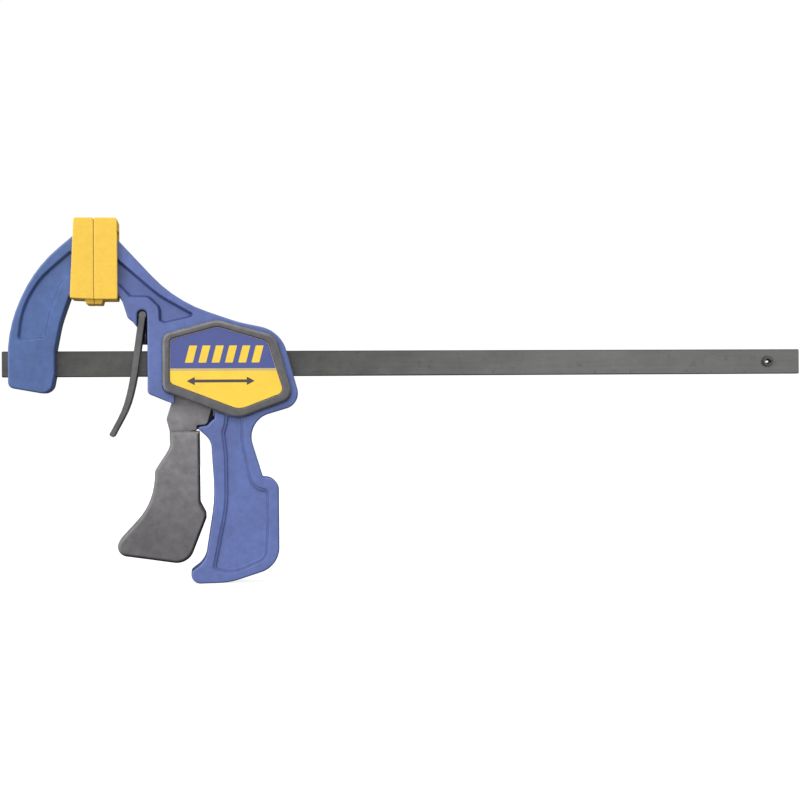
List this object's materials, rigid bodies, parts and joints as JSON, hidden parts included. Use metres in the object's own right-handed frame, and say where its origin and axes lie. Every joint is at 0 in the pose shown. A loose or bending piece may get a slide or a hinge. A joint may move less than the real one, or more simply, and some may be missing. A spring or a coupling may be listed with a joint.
{
  "type": "one-handed bar clamp",
  "caption": "One-handed bar clamp: flat steel bar with a fixed jaw, a sliding pistol-grip body with moving jaw and soft pads, squeeze trigger and brake lever.",
  "frame": {"origin": "on the bar's centre line, in the plane where the two closed pads meet", "axes": "+X along the bar towards its free end, +Y across the bar away from the front cover, +Z from the handle up to the jaws"},
  "size_m": [0.512, 0.03, 0.2267],
  "materials": {
    "bar_steel": "oiled dark steel",
    "pin_steel": "plain steel",
    "spring_steel": "drawn wire",
    "lever_steel": "blackened steel",
    "blue_moulding": "satin moulded nylon",
    "dark_moulding": "satin moulded nylon",
    "pad_yellow": "soft matt",
    "label": "printed sticker, blue over yellow"
  },
  "bodies": {
    "bar": {"slide_bar": "bar_steel", "bar_stop_pin": "pin_steel", "bar_jaw": "blue_moulding", "bar_jaw_pin": "pin_steel", "bar_jaw_pad": "pad_yellow"},
    "handle": {"body_frame": "blue_moulding", "body_jaw_pad": "pad_yellow", "front_cover": "dark_moulding", "rear_cover": "dark_moulding", "front_label": "label", "rear_label": "label", "trigger_pivot_pin": "pin_steel", "drive_spring": "spring_steel", "brake_spring": "spring_steel"},
    "trigger": {"trigger": "dark_moulding"},
    "drive": {"drive_lever": "lever_steel"},
    "brake": {"brake_lever": "lever_steel"}
  },
  "joints": [
    {"name": "jaw_slide", "type": "slide", "parent": "bar", "child": "handle", "axis": [1, 0, 0], "range_m": [0, 0.309]},
    {"name": "trigger_squeeze", "type": "hinge", "parent": "handle", "child": "trigger", "pos_m": [0.06, 0, 0.0135], "axis": [0, -1, 0], "range_deg": [0, 15.5], "stiffness_Nm_per_rad": 0.8, "springref_deg": -22.92},
    {"name": "drive_lever_slide", "type": "slide", "parent": "handle", "child": "drive", "axis": [1, 0, 0], "range_m": [0, 0.0108], "deforming": ["drive_spring"]},
    {"name": "brake_release", "type": "hinge", "parent": "handle", "child": "brake", "pos_m": [0.0291, 0, 0.0302], "axis": [0, -1, 0], "range_deg": [0, 7], "stiffness_Nm_per_rad": 0.3, "springref_deg": -17.19, "deforming": ["brake_spring"]}
  ],
  "couplings": [
    {"joint": "drive_lever_slide", "follows": "trigger_squeeze", "m_per_rad": 0.0396}
  ]
}
